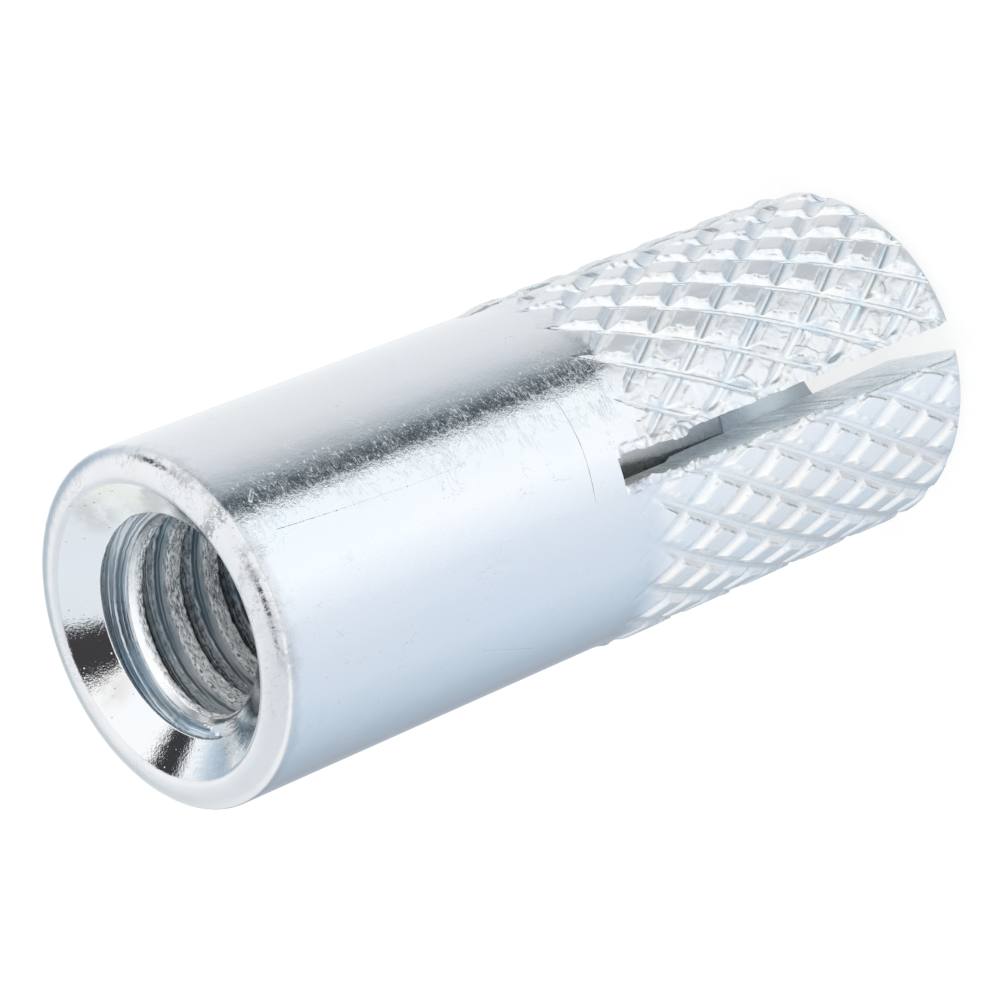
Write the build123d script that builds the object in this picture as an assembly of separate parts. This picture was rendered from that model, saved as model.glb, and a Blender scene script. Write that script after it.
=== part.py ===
from build123d import *
import os
from math import sqrt, tan, radians

# Drop-in internal thread anchor, 1/4"-20 UNC, millimetres.
# The frame stands on the slotted end: origin at the centre of that end face,
# +Z along the axis to the threaded mouth, slots on +X, -X, +Y and -Y.

# --- sleeve: outside ---
body_d = 9.525            # 3/8" smooth body
total_len = 25.4          # 1"
knurl_d = 9.84            # across the crests of the raised knurl band
knurl_top = 12.13         # the band ends here
knurl_runout = 0.22       # short cone from the band to the smooth body
foot_round_r = 0.78       # rounding of the slotted end, radial
foot_round_z = 0.90       # and axial
lip_round = 0.56          # rounding of the mouth's outer corner

# --- sleeve: mouth and thread ---
lip_r = 3.965             # inner edge of the flat lip
sink_half_angle = 51.0    # countersink
thread_minor_r = 2.5525   # 1/4"-20 UNC tap drill; the thread form itself is cosmetic
thread_bottom = 14.3      # 11.1 mm below the mouth

# --- sleeve: chamber and expansion taper ---
relief_r = 3.34           # chamber that clears the thread's major diameter
relief_top = 13.51        # 45 degree cone up to the thread
relief_low = 10.48
throat_r = 2.715          # where the shoulder meets the taper
throat_z = 9.72
toe_r = 1.86              # taper's radius at the slotted end

# --- sleeve: slots ---
slot_w = 0.85
slot_len = 13.28

# --- expander plug ---
plug_r = 2.50
plug_low = 7.25           # seated where the taper closes to the plug's own size
plug_len = 6.0
plug_chamfer = 0.25

R = body_d / 2
K = knurl_d / 2
H = total_len
sink_z = H - (lip_r - thread_minor_r) / tan(radians(sink_half_angle))
s = sqrt(0.5)


def bow(cr, cz, ar, az, up):
    # mid point of a quarter ellipse about (cr, cz), towards the outside
    return (cr + ar * s, cz + az * s * (1 if up else -1))


def quarter(p0, pm, p1):
    return ThreePointArc((p0[0], p0[1]), (pm[0], pm[1]), (p1[0], p1[1]))


# half section in X (radius) and Y (height), turned upright when revolved
foot_mid = bow(K - foot_round_r, foot_round_z, foot_round_r, foot_round_z, False)
lip_mid = bow(R - lip_round, H - lip_round, lip_round, lip_round, True)

outline = [
    Line((toe_r, 0), (K - foot_round_r, 0)),
    quarter((K - foot_round_r, 0), foot_mid, (K, foot_round_z)),
    Line((K, foot_round_z), (K, knurl_top)),
    Line((K, knurl_top), (R, knurl_top + knurl_runout)),
    Line((R, knurl_top + knurl_runout), (R, H - lip_round)),
    quarter((R, H - lip_round), lip_mid, (R - lip_round, H)),
    Line((R - lip_round, H), (lip_r, H)),
    Line((lip_r, H), (thread_minor_r, sink_z)),
    Line((thread_minor_r, sink_z), (thread_minor_r, thread_bottom)),
    Line((thread_minor_r, thread_bottom), (relief_r, relief_top)),
    Line((relief_r, relief_top), (relief_r, relief_low)),
    Line((relief_r, relief_low), (throat_r, throat_z)),
    Line((throat_r, throat_z), (toe_r, 0)),
]
section = Rot(90, 0, 0) * make_face(Wire(outline))
sleeve = revolve(section, axis=Axis.Z, revolution_arc=360)

# two crossed saw cuts make the four slots, open at the slotted end
cut_h = slot_len + 2
for across in ((4 * R, slot_w), (slot_w, 4 * R)):
    cut = Pos(0, 0, slot_len - cut_h / 2) * Box(across[0], across[1], cut_h)
    sleeve = sleeve - cut

# plug: a plain cylinder with both ends broken
plug = Pos(0, 0, plug_low + plug_len / 2) * Cylinder(plug_r, plug_len)
plug = chamfer(plug.edges().filter_by(GeomType.CIRCLE), plug_chamfer)

os.makedirs("parts", exist_ok=True)
export_step(sleeve, "parts/sleeve.step")
export_step(plug, "parts/expander_plug.step")
print("sleeve volume", round(sleeve.volume, 2), "plug volume", round(plug.volume, 2))
print("countersink ends at z", round(sink_z, 3))
taper_at_seat = toe_r + (throat_r - toe_r) / throat_z * (plug_low + plug_chamfer)
print("taper radius at the plug's lower edge", round(taper_at_seat, 3), "plug", plug_r)
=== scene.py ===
import math

import bpy
import numpy as np
from mathutils import Matrix, Vector


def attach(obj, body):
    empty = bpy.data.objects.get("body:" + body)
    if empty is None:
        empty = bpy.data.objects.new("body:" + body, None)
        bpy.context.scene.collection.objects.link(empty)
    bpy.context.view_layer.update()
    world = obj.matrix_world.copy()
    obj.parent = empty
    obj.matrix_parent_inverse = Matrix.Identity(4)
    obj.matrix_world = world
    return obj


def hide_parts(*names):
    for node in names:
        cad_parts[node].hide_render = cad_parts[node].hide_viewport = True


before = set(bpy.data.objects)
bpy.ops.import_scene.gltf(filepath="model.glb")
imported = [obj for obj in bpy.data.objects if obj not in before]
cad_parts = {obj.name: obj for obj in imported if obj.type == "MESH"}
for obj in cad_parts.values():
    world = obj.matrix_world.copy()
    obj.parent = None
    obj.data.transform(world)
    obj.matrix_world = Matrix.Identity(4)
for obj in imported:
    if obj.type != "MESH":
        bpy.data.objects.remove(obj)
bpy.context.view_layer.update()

# ---------------------------------------------------------------------------
# sizes, millimetres; the frame's origin is the middle of the slotted end, +Z runs to the threaded mouth
# ---------------------------------------------------------------------------
R = 4.7625              # smooth half of the sleeve
TOP = 25.4              # mouth
ROOT = 13.28            # slot roots
HALF = 0.425            # half a slot
BAND = 12.13            # upper border of the knurl
CREST = 4.880           # knurl pads
FOOT_R, FOOT_Z = 4.14, 0.90
FRONT = -81.5           # direction of the shot, degrees round the axis
PI = math.pi


# ---------------------------------------------------------------------------
# repeatable noise
# ---------------------------------------------------------------------------
def hashed(ix, iy, iz, seed):
    n = (ix.astype(np.uint32) * np.uint32(374761393)) ^ (iy.astype(np.uint32) * np.uint32(668265263))
    n = n ^ (iz.astype(np.uint32) * np.uint32(2246822519)) ^ np.uint32((seed * 3266489917) & 0xFFFFFFFF)
    n = (n ^ (n >> np.uint32(13))) * np.uint32(1274126177)
    n = (n ^ (n >> np.uint32(15))) * np.uint32(2654435761)
    n = n ^ (n >> np.uint32(16))
    return n.astype(np.float64) / 4294967295.0


def noise(x, y, z, seed=0):
    """Smooth noise, -1 to 1, one feature a unit."""
    x, y, z = np.broadcast_arrays(x + 517.0, y + 611.0, z + 733.0)
    ix, iy, iz = (np.floor(q).astype(np.int64) for q in (x, y, z))
    fx, fy, fz = x - ix, y - iy, z - iz
    fx, fy, fz = (q * q * q * (q * (q * 6 - 15) + 10) for q in (fx, fy, fz))
    out = 0.0
    for dx in (0, 1):
        for dy in (0, 1):
            for dz in (0, 1):
                w = (fx if dx else 1 - fx) * (fy if dy else 1 - fy) * (fz if dz else 1 - fz)
                out = out + w * hashed(ix + dx, iy + dy, iz + dz, seed)
    return 2 * out - 1


def round_noise(phi, z, size, seed=0, along=1.0, radius=4.85):
    """Noise on the cylinder: size in millimetres, stretched along the axis by along."""
    return noise(radius * np.cos(phi) / size, radius * np.sin(phi) / size, z / (size * along), seed)


def cells(x, y, z, seed=0):
    """Distances to the nearest and the second nearest of scattered points, one point a unit, and the nearest one's own number, 0 to 1."""
    x, y, z = np.broadcast_arrays(x + 517.0, y + 611.0, z + 733.0)
    ix, iy, iz = (np.floor(q).astype(np.int64) for q in (x, y, z))
    f1 = np.full(x.shape, 9.0)
    f2 = np.full(x.shape, 9.0)
    own = np.zeros(x.shape)
    for dx in (-1, 0, 1):
        for dy in (-1, 0, 1):
            for dz in (-1, 0, 1):
                jx, jy, jz = ix + dx, iy + dy, iz + dz
                d = np.sqrt((jx + hashed(jx, jy, jz, seed) - x) ** 2 + (jy + hashed(jx, jy, jz, seed + 7) - y) ** 2 + (jz + hashed(jx, jy, jz, seed + 13) - z) ** 2)
                own = np.where(d < f1, hashed(jx, jy, jz, seed + 19), own)
                f2 = np.minimum(f2, np.maximum(f1, d))
                f1 = np.minimum(f1, d)
    return f1, f2, own


def round_cells(phi, z, size, seed=0, radius=4.85):
    return cells(radius * np.cos(phi) / size, radius * np.sin(phi) / size, z / size, seed)


def step(a, b, x):
    t = np.clip((x - a) / (b - a), 0, 1)
    return t * t * (3 - 2 * t)


def smin(a, b, k):
    h = np.clip(0.5 + 0.5 * (b - a) / k, 0, 1)
    return b * (1 - h) + a * h - k * h * (1 - h)


def smax(a, b, k):
    return -smin(-a, -b, k)


# ---------------------------------------------------------------------------
# mesh building
# ---------------------------------------------------------------------------
class Shell:
    def __init__(self):
        self.co, self.quads, self.tris, self.at = [], [], [], {}
        self.n = 0

    def add(self, x, y, z, **attributes):
        x, y, z = np.broadcast_arrays(x, y, z)
        i = np.arange(self.n, self.n + x.size).reshape(x.shape)
        self.co.append(np.stack([x.ravel(), y.ravel(), z.ravel()], 1))
        for k in ("painted_crease_shade", "torn", "across", "roll_sin", "roll_cos"):
            v = attributes.get(k)
            v = np.zeros(x.shape) if v is None else np.broadcast_to(v, x.shape)
            self.at.setdefault(k, []).append(v.ravel())
        self.n += x.size
        return i

    def grid(self, I, group, material, flip=False):
        a, b, c, d = I[:-1, :-1], I[:-1, 1:], I[1:, 1:], I[1:, :-1]
        q = np.stack([a, b, c, d] if not flip else [d, c, b, a], -1).reshape(-1, 4)
        if not np.isscalar(material):
            material = material[:-1, :-1].ravel()
        self.quads.append((q, group, material))

    def zipper(self, a, za, b, zb, group, material, flip=False):
        """Triangles between two edges that both rise."""
        i = j = 0
        out = []
        while i < len(a) - 1 or j < len(b) - 1:
            if j == len(b) - 1 or (i < len(a) - 1 and za[i + 1] <= zb[j + 1]):
                out.append((a[i], b[j], a[i + 1]))
                i += 1
            else:
                out.append((a[i], b[j], b[j + 1]))
                j += 1
        t = np.array(out)
        self.tris.append((t[:, ::-1] if flip else t, group, material))

    def build(self, name, materials):
        co = np.concatenate(self.co) * 1e-3
        faces, total, group, material = [], [], [], []
        for q, g, m in self.quads + self.tris:
            faces.append(q.ravel())
            total.append(np.full(len(q), q.shape[1]))
            group.append(np.full(len(q), g))
            material.append(np.broadcast_to(m, len(q)))
        loops = np.concatenate(faces)
        total = np.concatenate(total)
        group = np.concatenate(group)
        material = np.concatenate(material)
        me = bpy.data.meshes.new(name)
        me.vertices.add(len(co))
        me.vertices.foreach_set("co", co.astype(np.float32).ravel())
        me.loops.add(len(loops))
        me.loops.foreach_set("vertex_index", loops.astype(np.int32))
        me.polygons.add(len(total))
        me.polygons.foreach_set("loop_start", np.concatenate([[0], np.cumsum(total)[:-1]]).astype(np.int32))
        me.polygons.foreach_set("material_index", material.astype(np.int32))
        for m in materials:
            me.materials.append(m)
        me.update(calc_edges=True)
        me.polygons.foreach_set("use_smooth", np.ones(len(total), bool))
        # edges between two kinds of surface stay sharp
        edge = np.zeros(len(loops), np.int32)
        me.loops.foreach_get("edge_index", edge)
        of_loop = np.repeat(group, total)
        lo = np.full(len(me.edges), 99)
        hi = np.full(len(me.edges), -1)
        np.minimum.at(lo, edge, of_loop)
        np.maximum.at(hi, edge, of_loop)
        me.edges.foreach_set("use_edge_sharp", lo != hi)
        for k, v in self.at.items():
            a = me.attributes.new(k, "FLOAT", "POINT")
            a.data.foreach_set("value", np.concatenate(v).astype(np.float32))
        me.validate()
        me.update()
        ob = bpy.data.objects.new(name, me)
        bpy.context.scene.collection.objects.link(ob)
        return ob


# ---------------------------------------------------------------------------
# surfaces
# ---------------------------------------------------------------------------
PITCH = 360 / 22
ACROSS = math.radians(PITCH) * R * math.cos(math.radians(30))


def knurl(phi, z):
    """Radius of the knurled band: two families of 22 rolled grooves, 30 degrees each side of the axis. Returns radius and how torn the metal is."""
    a = np.degrees(phi) - FRONT
    a = (a + 180) % 360 - 180
    zz = z / R - 1.358
    wob = 0.012 * round_noise(phi, z, 1.6, 3)
    pa = (a - 21.2 - 33.08 * zz) / PITCH + wob
    pb = (a - 21.2 + 33.08 * zz) / PITCH - wob
    sa = (pa - np.round(pa)) * ACROSS
    sb = (pb - np.round(pb)) * ACROSS
    fine = round_noise(phi, z, 0.11, 11)
    finer = round_noise(phi, z, 0.055, 12)
    mid = round_noise(phi, z, 0.27, 13)
    wide = round_noise(phi, z, 0.8, 14)
    # the leg above the front slot is rougher, most of all beside that slot; the one below it rolled cleaner and shallower
    rag = 0.36 + 0.64 * step(-12, 4, a) * (1 - 0.66 * step(24, 46, a))
    rag = np.where(np.abs(a) > 110, 0.5, rag)
    low_leg = step(-2, -12, a) * step(-108, -99, a)
    # grooves run out to points at the band's border
    e = BAND - z + 0.10 * wide + 0.03 * mid
    na = np.round(pa) % 22
    nb = np.round(pb) % 22
    tip_a = 0.40 * (hashed(na.astype(np.int64), (na * 0).astype(np.int64), (na * 0).astype(np.int64), 61) - 0.5)
    tip_b = 0.30 * (hashed(nb.astype(np.int64), (nb * 0).astype(np.int64), (nb * 0).astype(np.int64), 62) - 0.5)
    floor_a = 4.650 + 0.008 * wide + 0.040 * low_leg
    floor_b = 4.684 + 0.010 * wide + 0.050 * low_leg
    worn = 0.045 * step(-62, -84, a) * low_leg
    floor_a = floor_a + worn
    floor_b = floor_b + worn
    floor_a = floor_a + (R + 0.012 - floor_a) * np.clip((0.85 - e - tip_a) / 1.25, 0, 1.3) ** 1.25
    floor_b = floor_b + (R + 0.012 - floor_b) * np.clip((1.00 - e - tip_b) / 1.05, 0, 1.3)
    qa = np.abs(sa)
    qb = np.abs(sb)
    vee = floor_a + np.clip(qa - 0.055, 0, None) * np.where(sa > 0, 1.03, 1.32) - 0.034 * np.clip(1 - (qa / 0.062) ** 2, 0, None)
    tub = floor_a + np.where(sa > 0, 2.3, 3.4) * np.clip(qa - 0.05, 0, None) ** 2 + 0.22 * qa
    wa = vee * (1 - low_leg) + tub * low_leg
    wb = floor_b + (2.5 - 0.1 * low_leg) * qb ** 2 + 0.08 * low_leg * qb
    # the metal is torn only near the crests, most where the roll's edge came down
    high = step(4.740, 4.86, np.minimum(wa, wb))
    scallop = round_noise(phi, z, 0.17, 16)
    tear = 1 - 0.55 * low_leg
    wa = wa + high * tear * (np.where(sa > 0, 0.062 + 0.030 * rag, 0.016 + 0.03 * rag) * scallop + rag * (0.024 * mid + 0.020 * fine + 0.006 * finer))
    wb = wb + rag * high * tear * (0.020 * mid + 0.010 * fine)
    walls = smin(wa, wb, 0.026 + 0.020 * (1 - rag) + 0.040 * low_leg)
    # flakes folded over beside the front slot's upper edge and at the band's border
    f1, f2, own = round_cells(phi + 0.03 * wide, z + 0.12 * wide + 0.08 * mid, 0.95, 15)
    plate = step(30, 14, a) * step(-14, -8, a) * step(-0.45, 0.1, e)
    seam = np.exp(-((f2 - f1) / 0.06) ** 2)
    walls = walls + plate * (own - 0.42) * 0.12 * step(4.70, 4.80, walls)
    crest = CREST + 0.012 * wide + rag * (0.009 * mid + rag * (0.004 * fine + 0.002 * finer)) - plate * 0.010 * seam + plate * (own - 0.6) * 0.07
    crest = R + (crest - R) * step(-0.45, 0.70, e) + 0.035 * plate * (own - 0.3) * np.exp(-((e + 0.05) / 0.35) ** 2)
    r = smin(walls, crest, 0.034 + 0.020 * (1 - rag) + 0.030 * low_leg)
    r = np.where(e < -0.75, R, np.minimum(r, 4.940))
    torn = step(-0.25, 0.15, e) * (0.12 + 0.88 * rag) * step(4.72, 4.86, r) * (1 - 0.85 * low_leg)
    # painted shade just behind the pads' upper edges, mostly on the leg below the front slot, where that band is also
    # dented a little; painted shade too in the seams between the folded flakes
    painted_light_mask = np.exp(-((walls - 4.858) / 0.026) ** 2) * (sa < 0) * (sa > -0.40) * step(-0.30, 0.15, mid + 0.6 * fine + 0.5 * wide) * step(0.13, 0.28, qb) * step(0.0, 0.3, e)
    painted_crease_shade = painted_light_mask * (0.12 + 0.88 * low_leg * step(-68, -44, a)) + 0.35 * seam * plate * step(4.80, 4.86, r) * step(-0.2, 0.3, wide)
    painted_crease_shade = painted_crease_shade * (1 - low_leg * step(9.6, 11.2, z) * step(-40, -55, a))
    r = r - 0.040 * painted_light_mask * low_leg
    # painted shade: a thin dark outline on the walls just below the crests, on the leg above the front slot
    rim = np.exp(-((walls - 4.842) / 0.016) ** 2) * (1 - low_leg) * step(0.0, 0.3, e) * rag
    painted_crease_shade = np.maximum(painted_crease_shade, rim * 0.75 * step(-0.25, 0.35, mid + 0.5 * fine))
    return r, torn, painted_crease_shade, np.sin(2 * PI * pa), np.cos(2 * PI * pa)


def foot(z):
    """The rounded corner of the slotted end."""
    t = np.clip(z / FOOT_Z, 0, 1)
    arc = FOOT_R + 0.78 * np.sqrt(np.clip(1 - (1 - t) ** 2, 0, 1))
    return arc + np.clip(z - FOOT_Z, 0, None) * 2.0


def half_slot(z):
    """Half the slot's width: square, with small fillets at the root."""
    f = 0.11
    t = np.clip((z - (ROOT - f)) / f, 0, 1)
    return HALF - f * (1 - np.sqrt(np.clip(1 - t * t, 0, 1)))


def bore_r(z):
    """Inside of the legs: expander taper, undercut, chamber."""
    r = 1.86 + (2.715 - 1.86) * z / 9.72
    r = np.where(z > 9.72, 2.715 + (3.34 - 2.715) * (z - 9.72) / 0.76, r)
    return np.where(z > 10.48, 3.34, r)


def crumbs(z, seed, size=0.20):
    """Burr crumbs along a cut edge, 0 to about 1."""
    s = np.zeros_like(z) + seed * 3.7
    a = noise(z / size, s, s * 0 + 0.5, seed)
    b = noise(z / (size * 0.45), s, s * 0 + 1.5, seed + 1)
    c = noise(z / (size * 4.0), s, s * 0 + 2.5, seed + 2)
    return np.clip(0.25 + 0.75 * a + 0.35 * b + 0.35 * c, 0, 1.3)


def leg(k, materials):
    s = Shell()
    n = 210
    u = np.linspace(0, 1, n)
    u = u + 0.0035 * np.sin(2 * PI * u) * -1.0        # a little closer at the cut edges
    c0 = -PI / 2 + k * PI / 2
    t = np.linspace(0, 1, 24)[:-1]
    z = np.concatenate([
        FOOT_Z * (1 - np.cos(t * PI / 2)),
        np.linspace(FOOT_Z, 12.55, 254)[:-1],
        np.linspace(12.55, ROOT - 0.13, 11)[:-1],
        ROOT - 0.11 + 0.11 * np.sin(np.linspace(0, PI / 2, 7)),
    ])
    Z, U = np.meshgrid(z, u, indexing="ij")
    hw = half_slot(Z)
    d = np.arcsin(hw / 4.85)
    phi = c0 + d + U * (PI / 2 - 2 * d)
    r, torn, painted_crease_shade, roll_sin, roll_cos = knurl(phi, Z)
    r = smin(foot(Z), r, 0.05)
    span = PI / 2 - 2 * np.arcsin(HALF / 4.85)
    ends = {0: (U * span * 4.85, 101 + 10 * k), 1: ((1 - U) * span * 4.85, 151 + 10 * k)}
    shift = {}
    fade = step(0.12, 0.75, Z) * (1 - step(ROOT - 0.10, ROOT, Z))
    for side, (e, seed) in ends.items():
        amp = np.full_like(Z, 0.30 if (side, k) in ((1, 0), (0, 1)) else 0.6)
        near_root = step(9.4, 11.2, Z)
        if side == 0 and k == 0:      # upper edge of the front slot
            amp = 0.45 + 0.75 * near_root
        if side == 1 and k == 3:      # lower edge of the front slot
            amp = 0.75 + 0.45 * near_root
        front = 1.0 if (side, k) in ((0, 0), (1, 3)) else 0.35
        cr = crumbs(Z, seed) * amp * fade
        f1, f2, own = cells(Z / (0.23 if k == 3 else 0.42) + 0.35 * noise(Z / 0.4, e / 0.4, Z * 0, seed + 3), e / (0.19 if k == 3 else 0.26), np.zeros_like(Z) + seed * 1.7, seed + 5)
        pop = np.sqrt(np.clip(1 - (f1 / 0.85) ** 2, 0, 1)) * amp * fade * (0.15 + 1.35 * own) * np.clip(0.60 + 0.95 * noise(Z / 0.8, Z * 0, Z * 0 + seed, seed + 4), 0.08, 1.4)
        reach = np.exp(-(e / (0.13 + 0.10 * crumbs(Z, seed + 8, 0.5) + 0.07 * near_root * (front == 1.0))) ** 4)
        beyond = np.where(Z > BAND, 0.70, 1.0)
        upper = (side, k) in ((1, 0), (0, 1))
        ridge = (4.835 if upper else 4.805) + (0.020 if upper else 0.050) * noise(Z / 0.5, e / 0.4, Z * 0 + seed, seed + 11)
        r = r + np.clip(ridge - r, 0, None) * np.exp(-(e / (0.42 if upper else 0.24)) ** 4) * fade * step(BAND + 0.3, BAND - 0.4, Z) * (0.95 if upper else 0.85)
        r = r + beyond * reach * (0.064 * pop + 0.045 * cr - 0.024)
        if (side, k) == (0, 1):       # the far side of the upper slot: edge rolled over
            r = r - 0.085 * np.exp(-(e / 0.11) ** 2) * fade
        # painted shade: dark lines between the burr crumbs, and a dark band where the burred strip meets the plain
        # surface
        painted_crease_shade = np.maximum(painted_crease_shade, 0.40 * front * reach * fade * np.exp(-((f2 - f1) / 0.08) ** 2) * np.clip(amp, 0, 1))
        painted_crease_shade = np.maximum(painted_crease_shade, 0.6 * front * fade * np.clip(amp, 0, 1) * np.exp(-((reach - 0.30) / 0.16) ** 2) * step(-0.1, 0.4, noise(Z / 0.3, e / 0.3, Z * 0, seed + 9)))
        torn = np.maximum(torn, reach * fade * 0.8)
        shift[side] = (0.050 * cr + 0.075 * pop) * np.exp(-(e / 0.085) ** 2)
        if (side, k) == (1, 3):       # lower edge of the front slot, broken back
            worn_back = 0.140 * fade * step(12.4, 10.6, Z)
            shift[side] = 1.15 * shift[side] - worn_back * np.exp(-(e / 0.30) ** 2)
            # painted shade: a dark line along the very edge
            painted_crease_shade = np.maximum(painted_crease_shade, 0.95 * fade * np.exp(-(e / 0.055) ** 2) * step(-0.45, 0.05, noise(Z / 0.35, Z * 0, Z * 0 + seed, seed + 15)))
    d = np.arcsin(hw / r)
    phi = c0 + d + U * (PI / 2 - 2 * d) - shift[0] / r + shift[1] / r
    O = s.add(r * np.cos(phi), r * np.sin(phi), Z, torn=torn, painted_crease_shade=painted_crease_shade, roll_sin=roll_sin, roll_cos=roll_cos)
    depth = np.array([0.035, 0.08, 0.14, 0.26])
    keep = np.array([0.80, 0.42, 0.12, 0.0])

    def ring(zc, ri, hwc):
        """Rings between the outer and the inner edge, on a flat end."""
        rows = []
        out = r[0 if zc == 0 else -1]
        base_phi = phi[0 if zc == 0 else -1]
        for dj in depth:
            rj = out - dj
            dd = np.arcsin(hwc / rj)
            rows.append(np.stack([rj * np.cos(c0 + dd + u * (PI / 2 - 2 * dd)), rj * np.sin(c0 + dd + u * (PI / 2 - 2 * dd))]))
        rows = np.array(rows)
        return rows[:, 0], rows[:, 1], np.full(rows[:, 0].shape, zc)

    F = s.add(*ring(0.0, 1.86, HALF))
    T = s.add(*ring(ROOT, 3.34, half_slot(np.array(ROOT))))
    zi = np.concatenate([np.linspace(0, 9.72, 26)[:-1], np.linspace(9.72, 10.48, 6)[:-1], np.linspace(10.48, ROOT - 0.11, 8)[:-1], ROOT - 0.11 + 0.11 * np.sin(np.linspace(0, PI / 2, 4))])
    ZI, UI = np.meshgrid(zi, u, indexing="ij")
    ri = bore_r(ZI)
    di = np.arcsin(half_slot(ZI) / ri)
    pi_ = c0 + di + UI * (PI / 2 - 2 * di)
    I = s.add(ri * np.cos(pi_), ri * np.sin(pi_), ZI)
    mats = {"out": 0, "cut": 1, "in": 2}
    s.grid(O, 0, mats["out"])
    s.grid(np.vstack([O[-1:], T, I[-1:]]), 1, mats["cut"])
    s.grid(I[::-1], 2, mats["in"])
    s.grid(np.vstack([I[:1], F[::-1], O[:1]]), 0, mats["out"])
    # slot walls: a strip that carries the burrs, then the flat sawn wall; painted shade darkens the strip just under
    # the burred edge
    for side in (0, 1):
        col = 0 if side == 0 else -1
        sgn = 1 if side == 0 else -1
        c = c0 if side == 0 else c0 + PI / 2
        ex, ey = math.cos(c), math.sin(c)
        px, py = -ey * sgn, ex * sgn            # away from the slot
        zr = z[1:-1]
        rr = r[1:-1, col]
        hwr = half_slot(zr)
        sh = shift[side][1:-1, col]
        cols = [O[:, col]]
        lower = (side, k) == (1, 3)
        for j, (dj, kj) in enumerate(zip(depth, (0.90, 0.80, 0.68, 0.50) if lower else keep)):
            x = np.sqrt(np.maximum(rr ** 2 - hwr ** 2, 0)) - dj
            y = hwr - sh * kj
            w = s.add(ex * x + px * y, ey * x + py * y, zr, painted_crease_shade=((0.95, 0.22, 0.03, 0.0) if lower else (0.95, 0.75, 0.30, 0.0))[j] * step(-0.35, 0.25, noise(zr / 0.35, zr * 0 + side, zr * 0 + k, 77)))
            cols.append(np.concatenate([[F[j, col]], w, [T[j, col]]]))
        W = np.stack(cols, 1)
        s.grid(W, 3 + side, mats["cut"], flip=side == 0)
        s.zipper(W[:, -1], z, I[:, col], zi, 3 + side, mats["cut"], flip=side == 0)
    return s.build(f"sleeve_leg_{k + 1}", materials)


THREAD_PITCH = 1.27
THREAD_MINOR, THREAD_MAJOR = 2.56, 3.175
CREST_Z = 23.9160 - THREAD_PITCH * (FRONT + 180) / 360


def thread(phi, z):
    """Internal 60 degree thread, right hand, with torn crests and tool lines on the flanks."""
    x = (z - CREST_Z - THREAD_PITCH * phi / (2 * PI)) / THREAD_PITCH
    tz = (x - np.round(x)) * THREAD_PITCH
    mid = round_noise(phi, z, 0.22, 31, radius=2.9)
    fine = round_noise(phi, z, 0.09, 32, radius=2.9)
    deep = step(-0.45, -0.80, x)                   # past the first crest
    wob = 0.008 * mid + 0.008 * fine
    down = THREAD_MINOR + (-tz - 0.15 + wob) * 1.732
    bevel = THREAD_MINOR + (0.50 - 0.13 * deep) * (tz + 0.15)
    up = THREAD_MINOR + 0.175 + (tz - 0.23 + 0.03 * deep + wob) * 1.732
    r = smax(smax(down, up, 0.015), bevel, 0.02)
    r = smin(r, np.full_like(r, THREAD_MAJOR), 0.05)
    # crest: rolled over and torn, on the first turn only along its inner edge
    edge = step(0.03, -0.06, tz) * step(-0.30, -0.20, tz)
    whole = step(0.27, 0.18, tz) * step(-0.30, -0.20, tz)
    crest = edge * (1 - deep) + whole * deep
    f1, f2, own = cells(2.9 * phi / 0.14, z / 0.085, z * 0 + 3.3, 37)
    r = r + crest * (0.010 * mid + 0.010 * fine + 0.034 * (own - 0.5))
    # flank facing the mouth: torn near the root
    root = step(0.36, 0.42, tz) * step(0.66, 0.58, tz) * deep
    r = r + root * (0.012 * fine + 0.030 * (own - 0.5))
    torn = np.maximum(crest, root * 0.9)
    # painted shadow: dark lines at the roots past the first turn and just behind each crest
    painted_crease_shade = np.exp(-((np.abs(tz) - 0.62) / 0.04) ** 2) * 0.4 * deep + 0.8 * np.exp(-((tz + 0.18) / 0.035) ** 2)
    return r, torn, painted_crease_shade, tz


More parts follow.
